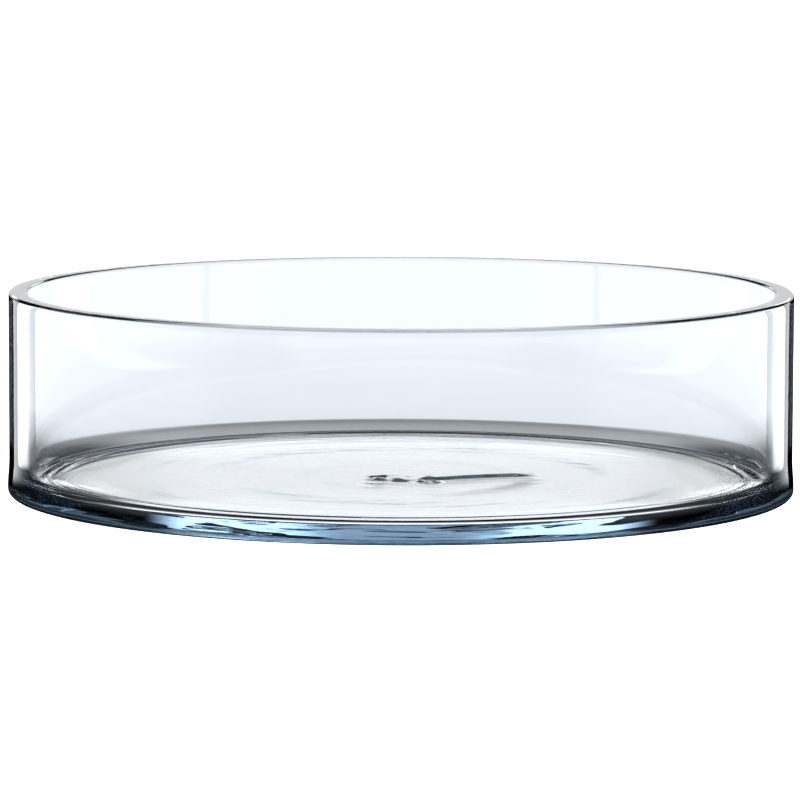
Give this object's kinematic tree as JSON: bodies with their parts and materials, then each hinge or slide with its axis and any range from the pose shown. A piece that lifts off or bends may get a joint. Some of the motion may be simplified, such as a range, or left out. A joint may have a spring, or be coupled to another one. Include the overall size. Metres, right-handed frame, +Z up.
{
  "type": "crystallizing dish",
  "caption": "Shallow, wide, straight-sided cylindrical dish of clear glass with a flat floor, a rounded heel and a fire-polished rim.",
  "frame": {"origin": "centre of the flat base, on the surface the dish stands on", "axes": "+Z up along the dish's axis of revolution, out of its mouth; the dish is round, so +X and +Y are free"},
  "size_m": [0.3012, 0.3012, 0.0774],
  "materials": {
    "clear_glass": "clear, fire-polished"
  },
  "bodies": {
    "root": {"dish": "clear_glass"}
  },
  "joints": []
}
